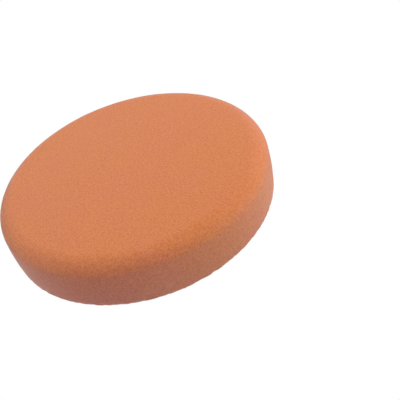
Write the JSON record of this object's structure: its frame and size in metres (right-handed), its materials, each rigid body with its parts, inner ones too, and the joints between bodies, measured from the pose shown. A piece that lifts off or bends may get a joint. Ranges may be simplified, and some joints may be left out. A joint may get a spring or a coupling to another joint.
{
  "type": "polishing pad",
  "caption": "Flat round foam polishing pad with a rounded working edge and a glued loop-cloth disc on its back for a hook-faced backing plate.",
  "frame": {"origin": "centre of the flat working face, which is the pad's lowest plane", "axes": "+Z along the pad's axis, from the working face through the foam to the loop face; X and Y lie in the working face, and the pad is round, so neither is special"},
  "size_m": [0.16, 0.16, 0.0312],
  "materials": {
    "foam": "matte",
    "adhesive": "satin",
    "ground_cloth": "matte",
    "loop_pile": "matte"
  },
  "bodies": {
    "root": {"foam_disc": "foam", "adhesive_film": "adhesive", "backing_cloth": "ground_cloth", "loop_pile": "loop_pile"}
  },
  "joints": []
}
